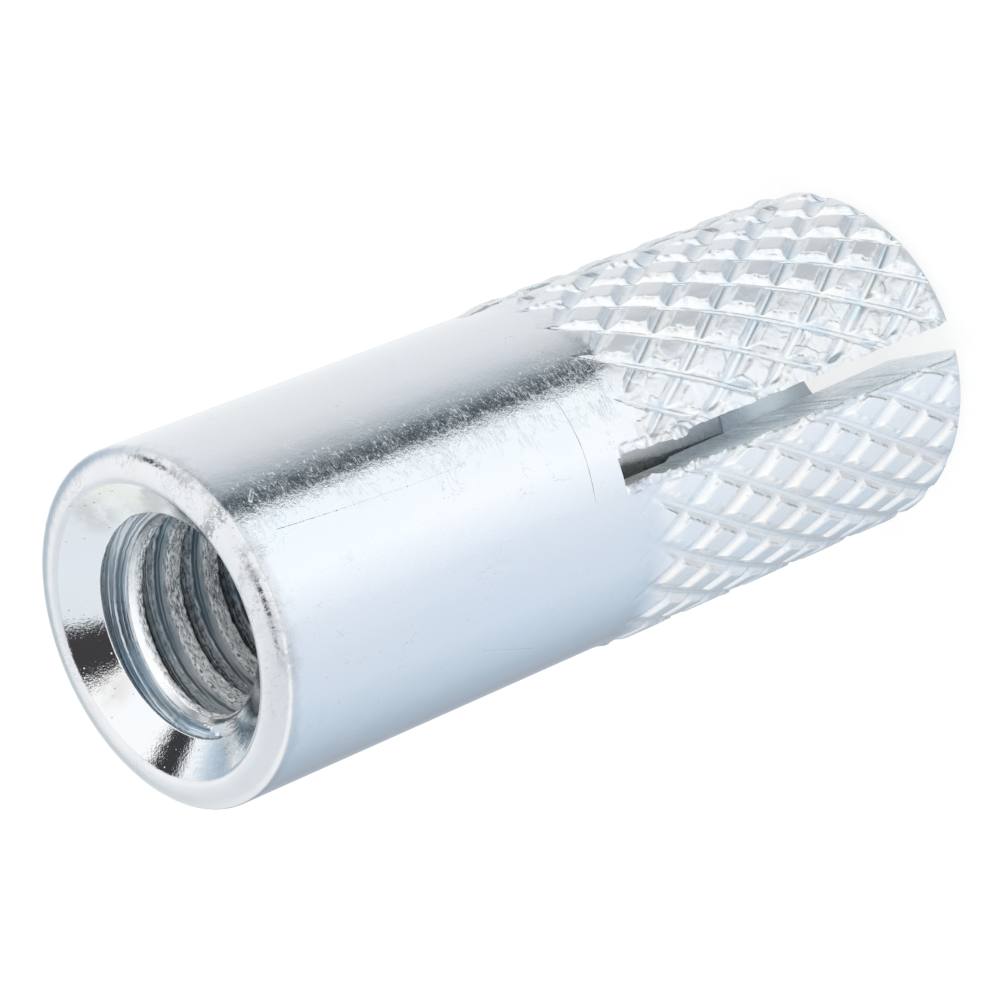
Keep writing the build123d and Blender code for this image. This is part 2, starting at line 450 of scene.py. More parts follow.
def barrel(materials):
    s = Shell()
    n = 300
    phi = np.linspace(0, 2 * PI, n + 1)
    cone = math.tan(math.radians(51))

    def add(rr, zz):
        P, RR = np.meshgrid(phi[:-1], rr)
        ZZ = np.broadcast_to(np.asarray(zz, float)[:, None], P.shape)
        i = s.add(RR * np.cos(P), RR * np.sin(P), ZZ)
        return np.hstack([i, i[:, :1]])

    # outside, from the slot roots to the rounded mouth
    zo = np.concatenate([np.linspace(ROOT, 24.6, 13), [24.7, 24.8, 24.88, 24.95]])
    ro = np.full_like(zo, R)
    t = np.linspace(0, PI / 2, 15)
    zo = np.concatenate([zo, 25.005 + 0.395 * np.sin(t)])
    ro = np.concatenate([ro, 4.085 + 0.6775 * np.cos(t)])
    # the lip's inner edge rolls into the countersink
    q = np.linspace(0, math.radians(39), 9)[1:]
    f = 0.32
    rl = 4.078 - f * np.sin(q)
    zl = TOP - f * (1 - np.cos(q))
    zo = np.concatenate([zo, zl])
    ro = np.concatenate([ro, rl])
    # bruises and a little smeared metal on the shoulder
    P, RO = np.meshgrid(phi[:-1], ro)
    ZO = np.broadcast_to(zo[:, None], P.shape)
    a = (np.degrees(P) - FRONT + 180) % 360 - 180
    bruise = np.exp(-((a - 36) / 15) ** 2) + 0.9 * np.exp(-((a + 14) / 20) ** 2) + 0.5 * np.exp(-((np.abs(a) - 130) / 25) ** 2)
    bruise = bruise * step(24.85, 25.1, ZO) * step(4.02, 4.2, RO)
    f1, f2, own = cells(4.6 * np.cos(P) / 0.28, 4.6 * np.sin(P) / 0.28, ZO / 0.28 + RO / 0.28, 81)
    lump = 0.6 * bruise * (0.030 * (own - 0.5) * np.clip(1 - f1, 0, 1) + 0.012 * noise(4.6 * np.cos(P) / 0.16, 4.6 * np.sin(P) / 0.16, ZO / 0.16 + RO / 0.2, 82))
    nr = np.clip((RO - 4.085) / 0.6775, 0, 1)
    i = s.add((RO + lump * nr) * np.cos(P), (RO + lump * nr) * np.sin(P), ZO + np.minimum(lump, 0) * (1 - nr), torn=0.35 * bruise)
    OUT = np.hstack([i, i[:, :1]])
    # inside, from the lip down: countersink, thread, run-out, chamber
    z_edge = zl[-1]
    zi = np.concatenate([
        np.linspace(z_edge - 0.02, 24.78, 12)[:-1],
        np.linspace(24.78, 19.6, 186)[:-1],
        np.linspace(19.6, 14.3, 66)[:-1],
        np.linspace(14.3, 13.51, 8)[:-1],
        np.linspace(13.51, ROOT, 3),
    ])
    ZI, PHI = np.meshgrid(zi, phi[:-1], indexing="ij")
    rc = rl[-1] - (z_edge - ZI) * cone
    rt, torn, painted_crease_shade, across = thread(PHI, ZI)
    rt = np.minimum(rt, THREAD_MAJOR - 0.85 * np.clip(ZI - 24.46, 0, None))
    cut_in = step(0.0, 0.06, rt - rc)                  # where the thread has cut through the countersink
    torn, painted_crease_shade = torn * cut_in, painted_crease_shade * cut_in
    low = step(14.9, 14.3, ZI)
    rt = rt * (1 - low) + np.maximum(rt, 2.75) * low
    run = 2.5525 + (3.34 - 2.5525) * np.clip((14.3 - ZI) / 0.79, 0, 1)
    ri = np.where(ZI > 14.3, smax(rt, rc, 0.012), np.maximum(run, np.where(ZI < 13.52, 3.34, 0)))
    i = s.add(ri * np.cos(PHI), ri * np.sin(PHI), ZI, torn=torn, painted_crease_shade=painted_crease_shade, across=across * 1e-3)
    IN = np.hstack([i, i[:, :1]])
    ring = add(np.array([3.8, 4.3]), np.array([ROOT, ROOT]))
    s.grid(OUT, 0, 0)
    threaded = np.where((cut_in > 0.5) | (ZI < 24.0), 2, 1)
    threaded = np.hstack([threaded, threaded[:, :1]])
    s.grid(np.vstack([OUT[-1:], IN[:1]]), 0, 1)
    s.grid(IN, 0, threaded)
    s.grid(np.vstack([IN[-1:], ring, OUT[:1]]), 1, 3)
    return s.build("sleeve_barrel", materials)


def plug(materials):
    """The expander plug: turned slug with rolled edges, tool rings and a parting dimple on each end."""
    s = Shell()
    n = 144
    phi = np.linspace(0, 2 * PI, n + 1)[:-1]
    z0, z1, pr, c = 7.25, 13.25, 2.50, 0.25
    prof = [(0.0, z0 + 0.03), (0.25, z0 + 0.025), (0.5, z0 + 0.0)]
    prof += [(x, z0) for x in np.linspace(0.8, pr - c - 0.04, 8)]
    t = np.linspace(0, PI / 2, 9)
    prof += [(pr - c + c * math.sin(x), z0 + c - c * math.cos(x)) for x in t]
    prof += [(pr, z) for z in np.linspace(z0 + c + 0.05, z1 - c - 0.05, 60)]
    prof += [(pr - c + c * math.cos(x), z1 - c + c * math.sin(x)) for x in t]
    prof += [(x, z1) for x in np.linspace(pr - c - 0.04, 0.8, 8)]
    prof += [(0.5, z1), (0.25, z1 - 0.025), (0.0, z1 - 0.03)]
    prof = np.array(prof)
    body = prof[1:-1]
    RR, P = np.meshgrid(body[:, 0], phi, indexing="ij")
    ZZ = np.broadcast_to(body[:, 1][:, None], RR.shape)
    side = (RR > pr - 0.02)
    tool = 0.004 * np.sin(ZZ * 2 * PI / 0.31) + 0.006 * round_noise(P, ZZ, 0.5, 41, radius=2.5) + 0.004 * round_noise(P, ZZ, 0.2, 42, radius=2.5)
    RR = RR + np.where(side, tool - 0.008, 0)
    i = s.add(RR * np.cos(P), RR * np.sin(P), ZZ)
    G = np.hstack([i, i[:, :1]])
    s.grid(G, 0, 0)
    b = s.add(np.array([0.0]), np.array([0.0]), np.array([z0 + 0.03]))
    e = s.add(np.array([0.0]), np.array([0.0]), np.array([z1 - 0.03]))
    s.tris.append((np.stack([np.full(n, b[0]), G[0, 1:], G[0, :-1]], 1), 0, 0))
    s.tris.append((np.stack([np.full(n, e[0]), G[-1, :-1], G[-1, 1:]], 1), 0, 0))
    return s.build("expander_plug_turned", materials)


# ---------------------------------------------------------------------------
# materials
# ---------------------------------------------------------------------------
def lin(v):
    v = v / 255.0
    return v / 12.92 if v <= 0.04045 else ((v + 0.055) / 1.055) ** 2.4


class Nodes:
    def __init__(self, tree):
        self.t = tree
        tree.nodes.clear()

    def new(self, kind, **kw):
        n = self.t.nodes.new(kind)
        for k, v in kw.items():
            setattr(n, k, v)
        return n

    def link(self, a, b):
        self.t.links.new(a, b)

    def put(self, sock, v):
        if isinstance(v, bpy.types.NodeSocket):
            self.link(v, sock)
        elif v is not None:
            sock.default_value = v

    def math(self, op, a, b=None, c=None, clamp=False):
        n = self.new("ShaderNodeMath", operation=op, use_clamp=clamp)
        for i, v in enumerate((a, b, c)):
            self.put(n.inputs[i], v)
        return n.outputs[0]

    def vec(self, op, a, b=None):
        n = self.new("ShaderNodeVectorMath", operation=op)
        self.put(n.inputs[0], a)
        self.put(n.inputs[1], b)
        return n.outputs["Value"] if op in ("DOT_PRODUCT", "LENGTH", "DISTANCE") else n.outputs[0]

    def smooth(self, x, a, b):
        n = self.new("ShaderNodeMapRange", interpolation_type="SMOOTHSTEP", clamp=True)
        self.put(n.inputs["Value"], x)
        n.inputs["From Min"].default_value = a
        n.inputs["From Max"].default_value = b
        return n.outputs["Result"]

    def mix(self, f, a, b, kind="MIX"):
        n = self.new("ShaderNodeMix", data_type="RGBA", blend_type=kind)
        self.put(n.inputs[0], f)
        for i, v in ((6, a), (7, b)):
            self.put(n.inputs[i], v if isinstance(v, bpy.types.NodeSocket) else (*v[:3], 1.0))
        return n.outputs[2]

    def noise(self, v, scale, detail=2.0, rough=0.5, dist=0.0):
        n = self.new("ShaderNodeTexNoise")
        self.put(n.inputs["Vector"], v)
        n.inputs["Scale"].default_value = scale
        n.inputs["Detail"].default_value = detail
        n.inputs["Roughness"].default_value = rough
        n.inputs["Distortion"].default_value = dist
        return n.outputs["Fac"]

    def voronoi(self, v, scale, feature="F1", rand=1.0):
        n = self.new("ShaderNodeTexVoronoi", feature=feature)
        self.put(n.inputs["Vector"], v)
        n.inputs["Scale"].default_value = scale
        n.inputs["Randomness"].default_value = rand
        return n.outputs["Distance"], (n.outputs["Color"] if feature == "F1" else None)

    def ramp(self, f, stops, mode="LINEAR"):
        n = self.new("ShaderNodeValToRGB")
        self.put(n.inputs[0], f)
        r = n.color_ramp
        r.interpolation = mode
        while len(r.elements) > 1:
            r.elements.remove(r.elements[-1])
        r.elements[0].position = stops[0][0]
        r.elements[0].color = (*stops[0][1], 1)
        for p, c in stops[1:]:
            e = r.elements.new(p)
            e.color = (*c, 1)
        return n.outputs[0]


def cylinder_coords(b, squeeze=(1, 1, 1)):
    """(distance round the axis, height, distance from the axis), metres, so marks can run round or along the part."""
    tc = b.new("ShaderNodeTexCoord")
    sep = b.new("ShaderNodeSeparateXYZ")
    b.link(tc.outputs["Object"], sep.inputs[0])
    ang = b.math("ARCTAN2", sep.outputs[1], sep.outputs[0])
    rad = b.vec("LENGTH", b.vec("MULTIPLY", tc.outputs["Object"], (1, 1, 0)))
    com = b.new("ShaderNodeCombineXYZ")
    b.link(b.math("MULTIPLY", ang, 0.00476), com.inputs[0])
    b.link(sep.outputs[2], com.inputs[1])
    b.link(rad, com.inputs[2])
    return tc.outputs["Object"], com.outputs[0], sep.outputs[2]


def stretched(b, v, s):
    return b.vec("MULTIPLY", v, s)


def on_side(a, z):
    """A point on the smooth half: degrees from the shot's direction, height in mm; metres round and up."""
    return math.radians(a + FRONT) * 0.00476, z * 1e-3


def zinc(name, base, tint, rough, bump, pits=1.0, turning=0.5, flecks=0.0, grain=0.4, speck=0.25, blotch=0.05, metal=1.0, lines=0.0, torn_bump=3.0, torn_rough=0.13,
         smears=(), marks=(), painted_light_by_height=None, tints=(), dust=0.0, pale_spot_over_reflection=None):
    """Bright zinc plate on steel: tinted film, fine pits, turning marks, dulled where the metal is torn.
    smears: (angle, height, reach) of smudges from handling, mm. marks: (angle, height, angle, height, width, depth) of
    scratches."""
    m = bpy.data.materials.new(name)
    m.use_nodes = True
    b = Nodes(m.node_tree)
    out = b.new("ShaderNodeOutputMaterial")
    p = b.new("ShaderNodeBsdfPrincipled")
    b.link(p.outputs[0], out.inputs[0])
    p.inputs["Metallic"].default_value = metal
    p.inputs["IOR"].default_value = 1.5
    obj, cyl, z = cylinder_coords(b)
    torn = b.new("ShaderNodeAttribute", attribute_name="torn").outputs["Fac"]
    painted_crease_shade = b.new("ShaderNodeAttribute", attribute_name="painted_crease_shade").outputs["Fac"]
    film = b.noise(obj, 260.0, 3.0, 0.55, 0.6)
    cloud = b.noise(obj, 900.0, 4.0, 0.6)
    col = b.mix(b.smooth(film, 0.36, 0.64), base, tint)
    specks = b.smooth(b.noise(obj, 9000.0, 2.0, 0.6), 0.66, 0.78)
    col = b.mix(b.math("MULTIPLY", specks, speck), col, tuple(c * 0.45 for c in base))
    col = b.mix(b.math("MULTIPLY", b.smooth(cloud, 0.52, 0.72), blotch), col, tuple(c * 0.72 for c in base))
    # painted shade from the crease attribute, patchy, darkening the colour
    crease_shade_tone = b.math("MULTIPLY", painted_crease_shade, b.smooth(b.noise(obj, 6500.0, 3.0, 0.65), 0.30, 0.62))
    dull = None
    if smears:
        reach = None
        for a, h, far in smears:
            c = math.radians(a + FRONT)
            d = b.vec("DISTANCE", obj, (R * math.cos(c) * 1e-3, R * math.sin(c) * 1e-3, h * 1e-3))
            v = b.smooth(d, far * 1e-3, far * 0.25e-3)
            reach = v if reach is None else b.math("MAXIMUM", reach, v)
        patch = b.math("MULTIPLY_ADD", b.noise(obj, 2600.0, 4.0, 0.7, 0.3), 0.75, b.math("MULTIPLY", b.noise(obj, 700.0, 2.0, 0.6), 0.45))
        dull = b.math("MULTIPLY", reach, b.smooth(patch, 0.60, 0.74))
        col = b.mix(b.math("MULTIPLY", dull, 0.62), col, (0.36, 0.36, 0.35))
    col = b.mix(crease_shade_tone, col, (0.135, 0.135, 0.130))
    # colour patches at fixed spots; on the countersink the teal one is a painted reflection tone
    for a, h, far, most, shade in tints:
        c = math.radians(a + FRONT)
        v = b.smooth(b.vec("DISTANCE", obj, (3.5 * math.cos(c) * 1e-3, 3.5 * math.sin(c) * 1e-3, h * 1e-3)), far * 1e-3, far * 0.3e-3)
        v = b.math("MULTIPLY", v, b.smooth(b.noise(obj, 1400.0, 3.0, 0.6), 0.30, 0.55))
        col = b.mix(b.math("MULTIPLY", v, most), col, shade)
    # painted light: metallic lowered at a spot so the pale base colour shows where a dark reflection would be
    if pale_spot_over_reflection:
        a, h, far, most = pale_spot_over_reflection
        c = math.radians(a + FRONT)
        v = b.smooth(b.vec("DISTANCE", obj, (3.5 * math.cos(c) * 1e-3, 3.5 * math.sin(c) * 1e-3, h * 1e-3)), far * 1e-3, far * 0.45e-3)
        b.link(b.math("MULTIPLY_ADD", v, -most, metal), p.inputs["Metallic"])
    # colour blended by height: painted light and shade on the sawn walls, the inside of the legs and the plug
    for z0, z1, c0, c1, most in painted_light_by_height or ():
        t = b.smooth(b.math("MULTIPLY_ADD", b.noise(obj, 900.0, 3.0, 0.6), 0.0016, z), z0 * 1e-3 + 0.0008, z1 * 1e-3 + 0.0008)
        col = b.mix(most, col, b.mix(t, c0, c1), "MIX")
    # roughness
    rr = b.math("MULTIPLY_ADD", b.smooth(cloud, 0.35, 0.70), rough * 0.55, rough * 0.75)
    rr = b.math("MULTIPLY_ADD", torn, torn_rough, rr)
    rr = b.math("MULTIPLY_ADD", crease_shade_tone, 0.25, rr)
    if dull is not None:
        rr = b.math("MULTIPLY_ADD", dull, 0.16, rr)
    # relief
    h = b.math("MULTIPLY", b.noise(obj, 5200.0, 3.0, 0.62), pits)
    if turning:
        h = b.math("MULTIPLY_ADD", b.noise(b.vec("MULTIPLY", cyl, (700.0, 9000.0, 700.0)), 1.0, 2.0, 0.6), turning, h)
    if flecks:
        f = b.noise(b.vec("MULTIPLY", cyl, (7000.0, 15500.0, 4000.0)), 1.0, 3.0, 0.72, 0.8)
        h = b.math("MULTIPLY_ADD", f, flecks, h)
    if lines:
        across = b.new("ShaderNodeAttribute", attribute_name="across").outputs["Fac"]
        com = b.new("ShaderNodeCombineXYZ")
        sep = b.new("ShaderNodeSeparateXYZ")
        b.link(obj, sep.inputs[0])
        b.link(b.math("MULTIPLY", sep.outputs[0], 240.0), com.inputs[0])
        b.link(b.math("MULTIPLY", sep.outputs[1], 240.0), com.inputs[1])
        b.link(b.math("MULTIPLY", across, 15000.0), com.inputs[2])
        h = b.math("MULTIPLY_ADD", b.noise(com.outputs[0], 1.0, 3.0, 0.7), lines, h)
    for a0, z0, a1, z1, width, deep in marks:
        (x0, y0), (x1, y1) = on_side(a0, z0), on_side(a1, z1)
        flat = b.vec("ADD", b.vec("MULTIPLY", cyl, (1, 1, 0)), (-x0, -y0, 0))
        run = (x1 - x0, y1 - y0, 0)
        l2 = run[0] ** 2 + run[1] ** 2
        t = b.math("MULTIPLY", b.vec("DOT_PRODUCT", flat, tuple(q / l2 for q in run)), 1.0, clamp=True)
        sc = b.new("ShaderNodeVectorMath", operation="SCALE")
        sc.inputs[0].default_value = run
        b.link(t, sc.inputs["Scale"])
        d = b.vec("DISTANCE", flat, sc.outputs[0])
        d = b.math("MULTIPLY_ADD", b.noise(obj, 1500.0, 2.0, 0.6), width * 3e-3, d)
        cut = b.smooth(d, width * 3.0e-3, width * 1.2e-3)
        h = b.math("MULTIPLY_ADD", cut, -deep, h)
        col = b.mix(b.math("MULTIPLY", cut, min(0.55, abs(deep) * 0.10)), col, (0.30, 0.36, 0.46))
    h = b.math("MULTIPLY_ADD", b.noise(obj, 15000.0, 2.0, 0.7), grain, h)
    h = b.math("MULTIPLY_ADD", b.noise(obj, 700.0, 2.0, 0.5), 2.2, h)
    h = b.math("MULTIPLY_ADD", b.math("MULTIPLY", torn, b.noise(obj, 6500.0, 4.0, 0.7)), torn_bump, h)
    if dust:
        dots = b.smooth(b.voronoi(obj, 5200.0)[0], 0.17, 0.07)
        dots = b.math("MULTIPLY", dots, b.smooth(b.noise(obj, 2200.0, 2.0, 0.6), 0.50, 0.60))
        h = b.math("MULTIPLY_ADD", dots, dust, h)
    if dull is not None:
        h = b.math("MULTIPLY_ADD", b.math("MULTIPLY", dull, b.noise(obj, 8000.0, 3.0, 0.7)), 3.0, h)
    bn = b.new("ShaderNodeBump")
    bn.inputs["Strength"].default_value = 1.0
    bn.inputs["Distance"].default_value = bump
    b.link(h, bn.inputs["Height"])
    b.link(bn.outputs[0], p.inputs["Normal"])
    b.link(rr, p.inputs["Roughness"])
    b.link(col, p.inputs["Base Color"])
    return m


def outer_zinc():
    """The whole outside: bright smooth half, dull rolled band, greyer lip with dark mottled patches, blended into each
    other by height.
    """
    m = bpy.data.materials.new("zinc_outside")
    m.use_nodes = True
    b = Nodes(m.node_tree)
    out = b.new("ShaderNodeOutputMaterial")
    p = b.new("ShaderNodeBsdfPrincipled")
    b.link(p.outputs[0], out.inputs[0])
    p.inputs["IOR"].default_value = 1.5
    obj, cyl, z = cylinder_coords(b)
    torn = b.new("ShaderNodeAttribute", attribute_name="torn").outputs["Fac"]
    painted_crease_shade = b.new("ShaderNodeAttribute", attribute_name="painted_crease_shade").outputs["Fac"]
    zn = b.math("MULTIPLY_ADD", b.noise(obj, 900.0, 3.0, 0.6), 0.7e-3, z)
    rolled = b.smooth(zn, 12.95e-3, 12.15e-3)
    plain = b.math("SUBTRACT", 1.0, rolled)
    lip = b.smooth(zn, 25.05e-3, 25.35e-3)
    arc = b.new("ShaderNodeSeparateXYZ")
    b.link(cyl, arc.inputs[0])
    arc = arc.outputs[0]

    def at(a):
        return on_side(a, 0)[0]

    film = b.noise(obj, 260.0, 3.0, 0.55, 0.6)
    cloud = b.noise(obj, 900.0, 4.0, 0.6)
    col = b.mix(b.smooth(film, 0.36, 0.64), (0.865, 0.885, 0.905), (0.880, 0.885, 0.885))
    col = b.mix(rolled, col, b.mix(b.smooth(film, 0.40, 0.62), (0.900, 0.912, 0.918), (0.912, 0.910, 0.898)))
    pool = b.math("MULTIPLY", b.math("MULTIPLY", rolled, b.smooth(torn, 0.5, 0.0)), b.smooth(b.noise(obj, 1100.0, 3.0, 0.65), 0.46, 0.60))
    col = b.mix(b.math("MULTIPLY", b.math("MULTIPLY", pool, b.smooth(arc, at(-8), at(0))), 0.60), col, (0.73, 0.83, 0.895))
    warm = b.math("MULTIPLY", b.math("MULTIPLY", rolled, b.smooth(arc, at(-20), at(-34))), b.smooth(b.noise(obj, 520.0, 3.0, 0.6), 0.40, 0.58))
    col = b.mix(b.math("MULTIPLY", warm, 0.50), col, (0.93, 0.885, 0.845))
    # painted shade: thin dark lines along both sides of the rolled grooves' floors, stronger above the front slot
    rs = b.new("ShaderNodeAttribute", attribute_name="roll_sin").outputs["Fac"]
    rc = b.new("ShaderNodeAttribute", attribute_name="roll_cos").outputs["Fac"]
    rs = b.math("MULTIPLY_ADD", b.noise(obj, 3200.0, 3.0, 0.65), 0.22, b.math("SUBTRACT", b.math("ABSOLUTE", rs), 0.11))
    groove_edge_shade = b.smooth(b.math("ABSOLUTE", b.math("SUBTRACT", rs, 0.34)), 0.10, 0.03)
    groove_edge_shade = b.math("MULTIPLY", b.math("MULTIPLY", groove_edge_shade, b.smooth(rc, 0.5, 0.8)), b.smooth(b.noise(obj, 1500.0, 3.0, 0.6), 0.36, 0.56))
    groove_edge_shade = b.math("MULTIPLY", groove_edge_shade, b.smooth(zn, 12.15e-3, 11.6e-3))
    groove_edge_shade = b.math("MULTIPLY", groove_edge_shade, b.math("MULTIPLY_ADD", b.smooth(arc, at(-12), at(-4)), 0.34, 0.20))
    col = b.mix(groove_edge_shade, col, (0.25, 0.285, 0.31))
    specks = b.smooth(b.noise(obj, 9000.0, 2.0, 0.6), 0.66, 0.78)
    col = b.mix(b.math("MULTIPLY", specks, 0.22), col, (0.39, 0.40, 0.41))
    col = b.mix(b.math("MULTIPLY", b.smooth(cloud, 0.52, 0.72), 0.05), col, (0.62, 0.64, 0.65))
    crease_shade_tone = b.math("MULTIPLY", painted_crease_shade, b.smooth(b.noise(obj, 6500.0, 3.0, 0.65), 0.30, 0.52))
    # dark mottled patches on three arcs of the shoulder round the mouth
    shoulder = b.math("MULTIPLY", b.smooth(zn, 25.20e-3, 25.40e-3), b.smooth(zn, 25.74e-3, 25.62e-3))
    spill = b.math("MULTIPLY", b.smooth(zn, 24.6e-3, 25.4e-3), 0.22)
    zone = None
    for a0, a1, a2, a3 in ((26, 36, 64, 82), (-36, -18, 8, 20), (-170, -140, -125, -104)):
        v = b.math("MULTIPLY", b.smooth(arc, at(a0), at(a1)), b.smooth(arc, at(a3), at(a2)))
        zone = v if zone is None else b.math("MAXIMUM", zone, v)
    reach = b.math("MULTIPLY", zone, b.math("MAXIMUM", shoulder, spill))
    patch = b.math("MULTIPLY_ADD", b.noise(obj, 9500.0, 3.0, 0.7), 0.55, b.math("MULTIPLY", b.noise(obj, 2100.0, 2.0, 0.6), 0.65))
    dull = b.math("MULTIPLY", b.smooth(patch, 0.555, 0.755), reach)
    col = b.mix(b.math("MULTIPLY", dull, 0.66), col, (0.22, 0.225, 0.225))
    col = b.mix(b.math("MULTIPLY", b.math("MULTIPLY", lip, b.smooth(cloud, 0.40, 0.62)), 0.15), col, (0.66, 0.665, 0.665))
    col = b.mix(b.math("MULTIPLY", lip, 0.55), col, (0.715, 0.720, 0.722))
    # painted crease shade from the vertex attribute, paler on the leg below the front slot
    col = b.mix(crease_shade_tone, col, b.mix(b.math("MULTIPLY", rolled, b.smooth(arc, at(-10), at(-16))), (0.150, 0.150, 0.145), (0.30, 0.325, 0.315)))
    # relief, in units of the bump distance
    h = b.math("MULTIPLY", b.noise(obj, 5200.0, 3.0, 0.62), 0.7)
    h = b.math("MULTIPLY_ADD", b.noise(b.vec("MULTIPLY", cyl, (700.0, 9000.0, 700.0)), 1.0, 2.0, 0.6), 0.12, h)
    # a streak along the side where the roll skidded: flecks, and hair scratches round the part
    streak = b.math("MULTIPLY", b.smooth(arc, at(13), at(22)), b.smooth(arc, at(36), at(30)))
    streak = b.math("MULTIPLY_ADD", streak, 0.92, 0.08)
    streak = b.math("MULTIPLY", streak, plain)
    grain = b.noise(b.vec("MULTIPLY", cyl, (6800.0, 8400.0, 4000.0)), 1.0, 3.0, 0.62, 1.0)
    h = b.math("MULTIPLY_ADD", b.math("MULTIPLY", grain, streak), 1.25, h)
    # painted reflection: dark specks in a ragged band on the smooth half, about 24 to 33 degrees round from the shot's
    # direction, standing in for a dark reflection
    ragged = b.math("MULTIPLY_ADD", b.noise(b.vec("MULTIPLY", cyl, (1600.0, 5200.0, 1600.0)), 1.0, 3.0, 0.7), 0.55e-3, arc)
    dark_reflection_specks = b.math("MULTIPLY", b.smooth(ragged, at(23.6) + 0.275e-3, at(24.8) + 0.275e-3), b.smooth(ragged, at(33) + 0.275e-3, at(27) + 0.275e-3))
    painted_light_mask = b.noise(b.vec("MULTIPLY", cyl, (6400.0, 8600.0, 3000.0)), 1.0, 4.0, 0.74, 1.2)
    dark_reflection_specks = b.math("MULTIPLY", b.math("MULTIPLY", dark_reflection_specks, plain), b.smooth(painted_light_mask, 0.43, 0.54))
    col = b.mix(b.math("MULTIPLY", dark_reflection_specks, 0.62), col, (0.185, 0.200, 0.205))
    chips = b.math("MULTIPLY", streak, b.smooth(b.noise(b.vec("MULTIPLY", cyl, (7000.0, 12000.0, 3000.0)), 1.0, 2.0, 0.6), 0.64, 0.70))
    h = b.math("MULTIPLY_ADD", chips, 2.0, h)
    hair = b.noise(b.vec("MULTIPLY", cyl, (1500.0, 13000.0, 1500.0)), 1.0, 2.0, 0.6, 0.9)
    hair = b.smooth(b.math("ABSOLUTE", b.math("SUBTRACT", hair, 0.5)), 0.030, 0.004)
    some = b.smooth(b.noise(obj, 1700.0, 2.0, 0.6), 0.47, 0.60)
    beside = b.math("MULTIPLY", b.smooth(arc, at(4), at(20)), b.smooth(arc, at(34), at(26)))
    beside = b.math("MULTIPLY", beside, b.math("MULTIPLY_ADD", b.smooth(z, 20.0e-3, 13.8e-3), 0.85, 0.15))
    hair = b.math("MULTIPLY", b.math("MULTIPLY", hair, some), b.math("MULTIPLY", beside, plain))
    h = b.math("MULTIPLY_ADD", hair, -1.1, h)
    col = b.mix(b.math("MULTIPLY", hair, 0.34), col, (0.30, 0.35, 0.42))
    stray = b.noise(b.vec("MULTIPLY", cyl, (1500.0, 1100.0, 1500.0)), 1.0, 2.0, 0.6, 1.6)
    stray = b.smooth(b.math("ABSOLUTE", b.math("SUBTRACT", stray, 0.5)), 0.006, 0.001)
    stray = b.math("MULTIPLY", b.math("MULTIPLY", stray, plain), b.smooth(b.noise(obj, 620.0, 2.0, 0.6), 0.57, 0.66))
    h = b.math("MULTIPLY_ADD", stray, -0.9, h)
    col = b.mix(b.math("MULTIPLY", stray, 0.26), col, (0.42, 0.38, 0.34))
    for a0, z0, a1, z1, width, deep in (
            (22, 14.22, 4, 14.25, 0.014, 3.0), (4, 14.25, -14, 14.40, 0.011, 2.6),
            (15.0, 24.1, 13.6, 22.2, 0.022, 0.7), (13.6, 22.2, 12.4, 19.9, 0.022, 0.7), (12.4, 19.9, 12.2, 17.9, 0.016, 0.5),
            (-19.5, 23.5, -22.0, 23.3, 0.040, -1.6), (29.2, 24.0, 26.4, 24.25, 0.045, -2.4), (-12, 24.02, -62, 24.02, 0.016, 0.5),
            (-48, 18.5, -58, 16.4, 0.016, 0.9), (74, 20.2, 58, 18.9, 0.014, 1.0), (150, 22.0, 120, 20.5, 0.016, 1.4), (-140, 17.0, -120, 19.5, 0.016, 1.4)):
        (x0, y0), (x1, y1) = on_side(a0, z0), on_side(a1, z1)
        flat = b.vec("ADD", b.vec("MULTIPLY", cyl, (1, 1, 0)), (-x0, -y0, 0))
        run = (x1 - x0, y1 - y0, 0)
        l2 = run[0] ** 2 + run[1] ** 2
        t = b.math("MULTIPLY", b.vec("DOT_PRODUCT", flat, tuple(q / l2 for q in run)), 1.0, clamp=True)
        sc = b.new("ShaderNodeVectorMath", operation="SCALE")
        sc.inputs[0].default_value = run
        b.link(t, sc.inputs["Scale"])
        d = b.vec("DISTANCE", flat, sc.outputs[0])
        d = b.math("MULTIPLY_ADD", b.noise(obj, 1500.0, 2.0, 0.6), width * 3e-3, d)
        cut = b.smooth(d, width * 3.0e-3, width * 1.2e-3)
        h = b.math("MULTIPLY_ADD", cut, -deep, h)
        col = b.mix(b.math("MULTIPLY", cut, min(0.55, abs(deep) * 0.12)), col, (0.30, 0.36, 0.46))
    h = b.math("MULTIPLY_ADD", b.noise(obj, 15000.0, 2.0, 0.7), 0.35, h)
    h = b.math("MULTIPLY_ADD", b.noise(obj, 700.0, 2.0, 0.5), 2.0, h)
    h = b.math("MULTIPLY", h, b.math("MULTIPLY_ADD", rolled, -0.68, 1.0))
    h = b.math("MULTIPLY_ADD", b.math("MULTIPLY", torn, b.noise(obj, 6500.0, 4.0, 0.7)), 1.1, h)
    h = b.math("MULTIPLY_ADD", b.math("MULTIPLY", dull, b.noise(obj, 8000.0, 1.0, 0.5)), 1.4, h)
    h = b.math("MULTIPLY_ADD", b.math("MULTIPLY", lip, b.noise(obj, 3800.0, 2.0, 0.5)), 0.9, h)
    bn = b.new("ShaderNodeBump")
    bn.inputs["Strength"].default_value = 1.0
    bn.inputs["Distance"].default_value = 6.0e-6
    b.link(h, bn.inputs["Height"])
    b.link(bn.outputs[0], p.inputs["Normal"])
    rr = b.math("MULTIPLY_ADD", b.smooth(cloud, 0.35, 0.70), 0.030, 0.045)
    rr = b.math("MULTIPLY_ADD", rolled, 0.20, rr)
    rr = b.math("MULTIPLY_ADD", lip, 0.10, rr)
    rr = b.math("MULTIPLY_ADD", torn, 0.15, rr)
    rr = b.math("MULTIPLY_ADD", b.math("MAXIMUM", crease_shade_tone, dull), 0.18, rr)
